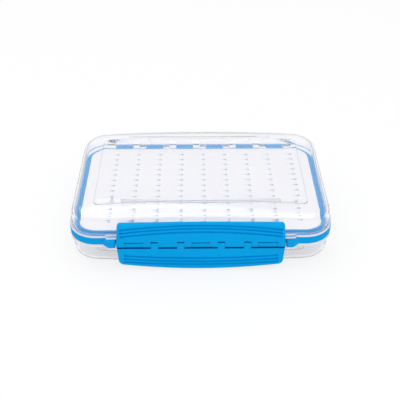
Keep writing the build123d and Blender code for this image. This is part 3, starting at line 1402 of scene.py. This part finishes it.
@dataclass
class Foams:
    """A slab of slit foam on each side of the web."""

    outline: RoundedOutline = RoundedOutline(75.0, 49.0, 16.0)
    inset: float = 5.6
    floor: float = 0.75
    top: float = 4.3
    rounding: float = 0.5
    columns: int = 9
    rows: int = 13
    pitch_across: float = 13.75
    pattern_shift: float = 0.6
    pitch_back: float = 5.95
    slit_half: float = 2.15
    slit_depth: float = 2.6

    def slab(self) -> BMesh:
        """Grows the slab, with its upper edge softened by the cutter."""
        stations = round_stations(12, even_shares(8), even_shares(6))
        soft = self.rounding
        section = [(self.inset, self.floor)]
        for step in range(4):
            turn = step / 3 * math.pi / 2
            section.append(
                (self.inset + soft * (1 - math.cos(turn)), self.top - soft * (1 - math.sin(turn)))
            )
        rings = [[self.outline.point(s, inset, level) for s in stations] for inset, level in section]
        loft = RingLoft(stations)
        loft.run(rings, start=True)
        loft.cap(loft.first_edges)
        loft.cap(loft.edges)
        return loft.bm

    def slits(self) -> BMesh:
        """The slits' own shapes: a thin cut that opens to a mouth at its right end."""
        shape = bmesh.new()
        half = self.slit_half
        edge = [
            (-half, 0.0),
            (0.2, -0.15),
            (1.5, -0.85),
            (2.6, -1.0),
            (2.75, 0.85),
            (2.2, 1.1),
            (0.6, 0.2),
        ]
        verts = [shape.verts.new((x, y, self.top + 0.3)) for x, y in edge]
        shape.faces.new(verts)
        made = bmesh.ops.extrude_face_region(shape, geom=shape.faces[:])["geom"]
        deep = [part for part in made if isinstance(part, BMVert)]
        bmesh.ops.translate(shape, vec=(0, 0, -self.slit_depth - 0.3), verts=deep)
        bmesh.ops.scale(shape, vec=(0.92, 0.3, 1.0), verts=deep)
        first = shape.faces[:] + shape.edges[:] + shape.verts[:]
        for column in range(self.columns):
            for row in range(self.rows):
                copied = bmesh.ops.duplicate(shape, geom=first)["geom"]
                spot = Vector(
                    (
                        (column - (self.columns - 1) / 2) * self.pitch_across
                        + self.pattern_shift,
                        (row - (self.rows - 1) / 2) * self.pitch_back,
                        0.0,
                    )
                )
                moved = [part for part in copied if isinstance(part, BMVert)]
                bmesh.ops.translate(shape, vec=spot, verts=moved)
        bmesh.ops.delete(shape, geom=[f for f in first if isinstance(f, BMVert)], context="VERTS")
        return shape

    def mark_slit_shade(self, slab: BMesh) -> None:
        """Gives the faces inside the slits the second finish, a darker, bluer foam: painted shade in
        the slits.
        """
        half_x = self.outline.half_width - self.inset - 1.0
        half_y = self.outline.half_depth - self.inset - 1.0
        for face in slab.faces:
            spot = face.calc_center_median()
            inside = abs(spot.x) < half_x and abs(spot.y) < half_y
            face.material_index = int(inside and self.floor + 0.1 < spot.z < self.top - 0.02)

    def dress(self, shop: Workshop, skin: ClosedCellFoam, cut: ClosedCellFoam) -> None:
        """Puts both slabs in place.

        Args:
            shop: Where the box stands.
            skin: The slabs' foam.
            cut: The same foam, darker and bluer, inside the slits: painted shade.
        """
        material, inner = skin.material(), cut.material()
        for side in Side:
            node = f"{side.value}_foam"
            slab = combine(self.slab(), self.slits(), Join.TAKE)
            self.mark_slit_shade(slab)
            piece = shop.finish(slab, f"{node}_slab", side, "frame", "foam", node, material, 40)
            piece.data.materials.append(inner)


@dataclass
class Pins:
    """The two steel pins."""

    hinge_depth: float = 51.6
    hinge_radius: float = 1.0
    hinge_half: float = 59.0
    latch_depth: float = -51.2
    latch_radius: float = 0.75
    latch_half: float = 50.9

    def dress(self, shop: Workshop, finish: DrawnSteel) -> None:
        """Puts both pins in place, with their cut ends chamfered.

        Args:
            shop: Where the box stands.
            finish: The pins' steel.
        """
        material = finish.material()
        sizes = {
            "hinge_pin": (self.hinge_radius, self.hinge_half, self.hinge_depth),
            "latch_pin": (self.latch_radius, self.latch_half, self.latch_depth),
        }
        for node, (radius, half, depth) in sizes.items():
            wire = rod(radius, -half, half, depth, 0.2)
            shop.finish(
                wire, f"{node}_wire", Side.UPPER, "frame", "pin_steel", node, material
            )


# ---- Latches -----------------------------------------------------------------------------------


@dataclass
class Latch:
    """A wide latch: bowed front with three grooves, hollow behind, and knuckles on the pin."""

    side: Side
    spans: Sequence[tuple[float, float]]
    end_height: float
    base: float
    foot: float
    reliefs: Sequence[tuple[float, float]] = ()
    relief_top: float = 2.02
    half_width: float = 47.3
    taper: float = 0.9
    bow: float = 2.9
    back_bow: float = 0.2
    corner: float = 2.0
    front: float = -52.3
    back: float = -48.6
    wall: float = 1.7
    rim_rounding: float = 1.2
    base_rounding: float = 0.25
    back_rounding: float = 0.45
    pin_depth: float = -51.2
    knuckle_reach: float = 1.5
    knuckle_rounding: float = 0.2
    bore_radius: float = 0.8
    catch_low: float = 4.9
    catch_high: float = 6.4
    catch_depth: float = -49.2
    groove_drops: tuple[float, ...] = (7.7, 5.3, 3.1)
    groove_bows: tuple[float, ...] = (3.3, 3.3, 3.1)
    groove_width: float = 1.2
    groove_depth: float = 1.0
    groove_stop: float = 2.2
    arc_steps: int = 36

    def arch(self, x: float, bow: float) -> float:
        """How much higher a bowed line is at x than at the latch's ends."""
        return bow * (1 - min(1.0, abs(x) / (self.half_width - self.taper)) ** 2)

    def plate(self, inset: float, front: float, back: float) -> BMesh:
        """Makes the latch's block, or the room inside it.

        Args:
            inset: How far inside the latch's outline it stays.
            front: Where its front face stands.
            back: Where its back face stands.

        Returns:
            The closed shape.
        """
        shape = bmesh.new()
        foot, tip = self.half_width - inset, self.half_width - self.taper - inset
        top, base = self.end_height - inset, self.base + inset
        corners = [(-foot, base), (foot, base), (tip, top), (-tip, top)]
        verts = [shape.verts.new((x, front, z)) for x, z in corners]
        shape.faces.new(verts)
        upper = [edge for edge in shape.edges if min(v.co.z for v in edge.verts) > base + 1]
        bmesh.ops.subdivide_edges(shape, edges=upper, cuts=self.arc_steps - 1)
        for vert in shape.verts:
            if abs(vert.co.z - top) < 1e-5:
                vert.co.z += self.arch(vert.co.x, self.bow)
        bends = [v for v in shape.verts if abs(abs(v.co.x) - tip) < 1e-4 and v.co.z > base + 1]
        bmesh.ops.bevel(
            shape,
            geom=bends,
            offset=max(0.3, self.corner - inset),
            segments=6,
            affect="VERTICES",
            profile=0.5,
            material=-1,
        )
        made = bmesh.ops.extrude_face_region(shape, geom=shape.faces[:])["geom"]
        far = [part for part in made if isinstance(part, BMVert)]
        reach = (back - self.front) / (self.back - self.front)
        near_reach = (front - self.front) / (self.back - self.front)
        for vert in shape.verts:
            share = reach if vert in far else near_reach
            drop = self.arch(vert.co.x, self.bow - self.back_bow)
            rise = (vert.co.z - base) / (top + self.arch(vert.co.x, self.bow) - base)
            vert.co.z -= drop * max(0.0, min(1.0, rise)) * share
        bmesh.ops.translate(shape, vec=(0, back - front, 0), verts=far)
        bmesh.ops.recalc_face_normals(shape, faces=shape.faces)
        return shape

    def soften(self, shape: BMesh) -> None:
        """Rounds the edges of the front and back faces, most where fingers pull."""
        rims = ((self.front, 1.0, self.rim_rounding), (self.front, -1.0, self.base_rounding))
        for depth, above, radius in (*rims, (self.back, 1.0, self.back_rounding)):
            picked = []
            for edge in shape.edges:
                heights = sorted(vert.co.z for vert in edge.verts)
                at_base = heights[1] < self.base + 1.0
                on_face = all(abs(vert.co.y - depth) < 1e-4 for vert in edge.verts)
                if on_face and at_base == (above < 0) and edge.calc_face_angle(0) > 0.6:
                    picked.append(edge)
            bmesh.ops.bevel(
                shape,
                geom=picked,
                offset=radius,
                segments=4,
                affect="EDGES",
                profile=0.5,
                material=-1,
            )

    def grooves(self) -> BMesh:
        """The three bowed grooves' own shapes, round at the bottom and at their ends."""
        shape = bmesh.new()
        end = self.half_width - self.groove_stop
        for drop, bow in zip(self.groove_drops, self.groove_bows):
            bar = bmesh.new()
            bmesh.ops.create_cone(
                bar,
                cap_ends=True,
                segments=12,
                radius1=self.groove_width / 2,
                radius2=self.groove_width / 2,
                depth=2 * end,
                matrix=Matrix.Rotation(math.pi / 2, 4, "Y"),
            )
            along = [e for e in bar.edges if abs(e.verts[0].co.x - e.verts[1].co.x) > 1]
            bmesh.ops.subdivide_edges(bar, edges=along, cuts=self.arc_steps - 1)
            for vert in bar.verts:
                vert.co.y *= 2 * self.groove_depth / self.groove_width
                vert.co.y += self.front
                vert.co.z += self.end_height - drop + bow * (1 - (vert.co.x / end) ** 2)
            pour(shape, bar)
        return shape

    def knuckles(self) -> BMesh:
        """The knuckles: the plate's front goes on over the pin, and rounds off behind it."""
        shape = bmesh.new()
        front, back = self.front + 0.02, self.pin_depth + self.knuckle_reach
        foot, blend = -self.foot, self.base + 1.2
        corners = [
            (front, blend),
            (front, foot),
            (back, foot),
            (back, 0.0),
            (self.front + self.wall, blend),
        ]
        rounded = {1: self.knuckle_rounding, 2: self.foot - 0.2}
        for start, end in self.spans:
            pour(shape, prism(corners, start, end, rounded, 0.18))
        return shape

    def relief(self) -> BMesh:
        """What the lower edge loses, where the other latch's tabs pass it with both open."""
        shape = bmesh.new()
        lean, near, floor = math.tan(math.radians(30)), self.front - 0.3, self.base - 0.3
        rise = self.relief_top + 0.3 * lean
        corners = [(near, rise), (near, floor), (near + (rise - floor) / lean, floor)]
        for start, end in self.reliefs:
            pour(shape, prism(corners, start - 0.05, end + 0.05))
        return shape

    def build(self) -> BMesh:
        """Builds the latch as one mesh."""
        leaf = self.plate(0.0, self.front, self.back)
        self.soften(leaf)
        if self.reliefs:
            leaf = combine(leaf, self.relief(), Join.TAKE)
        inside = self.front + self.wall
        leaf = combine(leaf, self.plate(self.wall, inside, self.back + 1.0), Join.TAKE)
        below = block(Vector((-60, inside, 0)), Vector((60, -40, self.catch_low)))
        leaf = combine(leaf, below, Join.TAKE)
        leaf = combine(leaf, self.grooves(), Join.TAKE)
        reach = self.half_width - self.wall
        catch = block(
            Vector((-reach, inside - 0.5, self.catch_low)),
            Vector((reach, self.catch_depth, self.catch_high)),
            0.2,
            2,
        )
        leaf = combine(leaf, catch, Join.ADD)
        leaf = combine(leaf, self.knuckles(), Join.ADD)
        leaf = combine(leaf, rod(self.bore_radius, -60.0, 60.0, self.pin_depth), Join.TAKE)
        # The downward faces at the plate's base edge take the darker blue: painted shade in the seam
        # between the latches.
        for face in leaf.faces:
            at_base = abs(face.calc_center_median().z - self.base) < 0.3
            face.material_index = int(at_base and face.normal.z < -0.7)
        return leaf

    def dress(
        self, shop: Workshop, textured: bpy.types.Material, plain: bpy.types.Material
    ) -> None:
        """Puts the latch in place.

        Args:
            shop: Where the box stands.
            textured: The latches' plastic.
            plain: The same plastic, darker, on the base edge beside the pin: painted shade in the
                seam.
        """
        node = f"{self.side.value}_latch"
        piece = shop.finish(
            self.build(), f"{node}_leaf", self.side, node, "latch_plastic", node, textured
        )
        piece.data.materials.append(plain)


def lower_spans(pitch: float, spread: float, width: float) -> list[tuple[float, float]]:
    """The lower latch's four tabs on the pin, as starts and ends along X."""
    places = [middle + step for middle in (-pitch / 2, pitch / 2) for step in (-spread, spread)]
    return [(place - width / 2, place + width / 2) for place in places]


def upper_spans(
    pitch: float,
    width: float,
    tabs: Sequence[tuple[float, float]],
    half: float,
    gap: float,
) -> list[tuple[float, float]]:
    """Finds what the frame's knuckles and the lower latch's tabs leave of the pin.

    Args:
        pitch: Between the frame's knuckles.
        width: Of one of them.
        tabs: The lower latch's tabs.
        half: Half the latch's width.
        gap: Between neighbours on the pin.

    Returns:
        Starts and ends of the upper latch's knuckles along X.
    """
    knuckles = [(place - width / 2, place + width / 2) for place in (-pitch, 0.0, pitch)]
    taken = sorted([*knuckles, *tabs])
    starts = [-half] + [end + gap for _, end in taken]
    ends = [start - gap for start, _ in taken] + [half]
    return list(zip(starts, ends))


# ---- Studio ------------------------------------------------------------------------------------


@dataclass
class Studio:
    """A pale table, a white tent with soft lamps, and the camera."""

    middle: Vector
    elevation: float = 34.5
    focal_pixels: float = 788.0
    frame_pixels: float = 400.0
    distance: float = 482.5
    turn: float = -0.5
    shift_across: float = -0.1
    shift_up: float = -4.66
    tent_light: float = 0.58
    floor_glow: float = 0.8
    floor_glow_through: float = 0.6

    def camera(self) -> None:
        """Stands the camera in front of the box, a hair to its left, above it and level."""
        tilt, turn = math.radians(self.elevation), math.radians(self.turn)
        spot = Vector((self.shift_across, self.shift_up, self.distance))
        spot.rotate(Matrix.Rotation(math.pi / 2 - tilt, 3, "X"))
        spot.rotate(Matrix.Rotation(turn, 3, "Z"))
        data = bpy.data.cameras.new("camera")
        data.sensor_width = 36.0
        data.lens = 36.0 * self.focal_pixels / self.frame_pixels
        data.clip_start, data.clip_end = 0.01, 20.0
        camera = bpy.data.objects.new("camera", data)
        camera.location = self.middle + spot * MILLIMETRE
        camera.rotation_euler = (math.pi / 2 - tilt, 0.0, turn)
        bpy.context.scene.collection.objects.link(camera)
        bpy.context.scene.camera = camera

    def seen_ray(
        self, tree: bpy.types.NodeTree, direct: float = 1.0, through: float = 1.0
    ) -> bpy.types.NodeSocket:
        """Finds the rays that show the surroundings as a picture.

        Args:
            tree: The tree that asks.
            direct: What a camera ray counts.
            through: What a mirror or see-through ray counts.

        Returns:
            A socket with these shares, and 0 for all other rays.
        """
        path = add_node(tree, "ShaderNodeLightPath")
        seen: bpy.types.NodeSocket | float = 0.0
        shares = {"Is Camera Ray": direct, "Is Glossy Ray": through, "Is Transmission Ray": through}
        for name, share in shares.items():
            part = add_node(
                tree,
                "ShaderNodeMath",
                {0: path.outputs[name], 1: share},
                operation="MULTIPLY",
            )
            seen = add_node(
                tree,
                "ShaderNodeMath",
                {0: seen, 1: part.outputs[0]},
                operation="MAXIMUM",
            ).outputs[0]
        return seen

    def table(self) -> None:
        """Lays the pale table, which keeps the box's shadow."""
        shape = bmesh.new()
        bmesh.ops.create_grid(shape, x_segments=4, y_segments=4, size=4.0)
        mesh = bpy.data.meshes.new("table")
        shape.to_mesh(mesh)
        shape.free()
        table = bpy.data.objects.new("table", mesh)
        bpy.context.scene.collection.objects.link(table)
        material, tree = blank_material("matt_table")
        place = add_node(tree, "ShaderNodeTexCoord").outputs["Object"]
        cloud = add_node(tree, "ShaderNodeTexNoise", {"Vector": place, "Scale": 3.0})
        tone = add_node(
            tree,
            "ShaderNodeMix",
            {0: cloud.outputs[0], 6: linear("#F8F8FA"), 7: linear("#FAFAFB")},
            data_type="RGBA",
        )
        matt = add_node(tree, "ShaderNodeBsdfDiffuse", {"Color": tone.outputs[2]})
        glow = add_node(tree, "ShaderNodeEmission", {"Color": (1, 1, 1, 1), "Strength": 1.0})
        share = self.seen_ray(tree, self.floor_glow, self.floor_glow_through)
        both = add_node(
            tree,
            "ShaderNodeMixShader",
            {0: share, 1: matt.outputs[0], 2: glow.outputs[0]},
        )
        add_node(tree, "ShaderNodeOutputMaterial", {"Surface": both.outputs[0]})
        mesh.materials.append(material)

    def tent(self) -> None:
        """Hangs the white tent: even light, with a grey lower rim that gloss and glass show."""
        world = bpy.data.worlds.new("tent")
        bpy.context.scene.world = world
        world.use_nodes = True
        tree = world.node_tree
        tree.nodes.clear()
        way = add_node(tree, "ShaderNodeTexCoord").outputs["Generated"]
        parts = add_node(tree, "ShaderNodeSeparateXYZ", {"Vector": way})
        ramp = add_node(
            tree,
            "ShaderNodeMapRange",
            {
                "Value": parts.outputs["Z"],
                "From Min": 0.05,
                "From Max": 0.45,
                "To Min": 0.5,
                "To Max": 1.0,
            },
            interpolation_type="SMOOTHSTEP",
        )
        path = add_node(tree, "ShaderNodeLightPath")
        shown = add_node(
            tree,
            "ShaderNodeMath",
            {0: ramp.outputs[0], 1: path.outputs["Is Camera Ray"]},
            operation="MAXIMUM",
        )
        strength = add_node(
            tree,
            "ShaderNodeMix",
            {0: self.seen_ray(tree), 2: self.tent_light, 3: shown.outputs[0]},
            data_type="FLOAT",
        )
        light = add_node(
            tree,
            "ShaderNodeBackground",
            {"Color": (1.0, 1.0, 1.0, 1.0), "Strength": strength.outputs[0]},
        )
        add_node(tree, "ShaderNodeOutputWorld", {"Surface": light.outputs[0]})

    def lamp(self, name: str, spot: tuple[float, float, float], size: float, power: float) -> None:
        """Hangs a square soft lamp that looks at the box.

        Args:
            name: The lamp's name.
            spot: Where it hangs, in metres.
            size: Its side, in metres.
            power: In watts.
        """
        data = bpy.data.lights.new(name, "AREA")
        data.shape = "SQUARE"
        data.size = size
        data.energy = power
        lamp = bpy.data.objects.new(name, data)
        lamp.location = spot
        aim = self.middle - Vector(spot)
        lamp.rotation_euler = aim.to_track_quat("-Z", "Y").to_euler()
        bpy.context.scene.collection.objects.link(lamp)

    def build(self) -> None:
        """Sets up the table, the light and the camera."""
        self.camera()
        self.table()
        self.tent()
        self.lamp("overhead_lamp", (-0.25, 0.15, 1.1), 1.6, 6.2)
        self.lamp("front_lamp", (0.3, -0.78, 1.0), 1.3, 5.8)
        bpy.context.scene.view_settings.view_transform = "Standard"


# ---- The box -----------------------------------------------------------------------------------


def box_middle() -> Vector:
    """Finds the middle of the box in the row's frame, in metres, from the back hinge."""
    hinge = next(joint for joint in frame["joints"] if joint["name"] == "frame_hinge")
    _, depth, height = hinge["pos_m"]
    return Vector((0.0, depth - Lid.hinge_depth * MILLIMETRE, height))


def corners(bounds: tuple[Vector, Vector]) -> list[list[float]]:
    """A box's two corners as plain lists."""
    return [list(corner) for corner in bounds]


def main() -> None:
    """Builds the box in order and sets up the studio."""
    logging.basicConfig(level=logging.INFO, format="%(message)s")
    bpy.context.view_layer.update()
    middle = box_middle()
    shop = Workshop(middle)
    frame_plastic = MouldedPlastic("frame_polypropylene", "#009BDF", "#00A2E5")
    latch_plastic = MouldedPlastic("latch_acetal", "#009EE0", "#00A6E8", roughness=0.36)
    Studio(middle).build()
    Frame().dress(shop, frame_plastic)
    Seals().dress(shop, SoftElastomer())
    # A darker, bluer foam for the slits' inside faces: painted shade in the slits.
    slit_shade_foam = ClosedCellFoam("slit_shade_foam", "#EEF3FD", "#E6ECFA")
    Foams().dress(shop, ClosedCellFoam(), slit_shade_foam)
    Pins().dress(shop, DrawnSteel())
    tabs = lower_spans(37.4, 7.35, 4.0)
    spans = upper_spans(37.4, 10.8, tabs, 47.3, 0.1)
    # A darker blue on the latches' base edges: painted shade in the seam under the upper latch's
    # foot.
    latch_seam_shade = MouldedPlastic("latch_acetal_painted_seam_shade", "#00589C", "#0064A8", roughness=0.5)
    latch_material, seam_shade_material = latch_plastic.material(), latch_seam_shade.material()
    upper = Latch(
        Side.UPPER,
        spans,
        end_height=13.1,
        base=1.45,
        foot=1.75,
        reliefs=tabs,
        rim_rounding=1.8,
    )
    lower = Latch(
        Side.LOWER,
        tabs,
        end_height=14.2,
        base=2.75,
        foot=0.95,
        corner=2.4,
        groove_drops=(6.5, 4.3, 2.1),
        groove_bows=(1.8, 2.0, 1.8),
        bow=3.4,
        groove_stop=3.8,
    )
    for latch in (upper, lower):
        latch.dress(shop, latch_material, seam_shade_material)
    rib = FrostedPolycarbonate("frosted_rib", "#FDFDFE", "#F9F9FC", see_through=0.0)
    Lid().dress(shop, ClearPolycarbonate(), FrostedPolycarbonate(), rib)


if __name__ == "__main__":
    main()
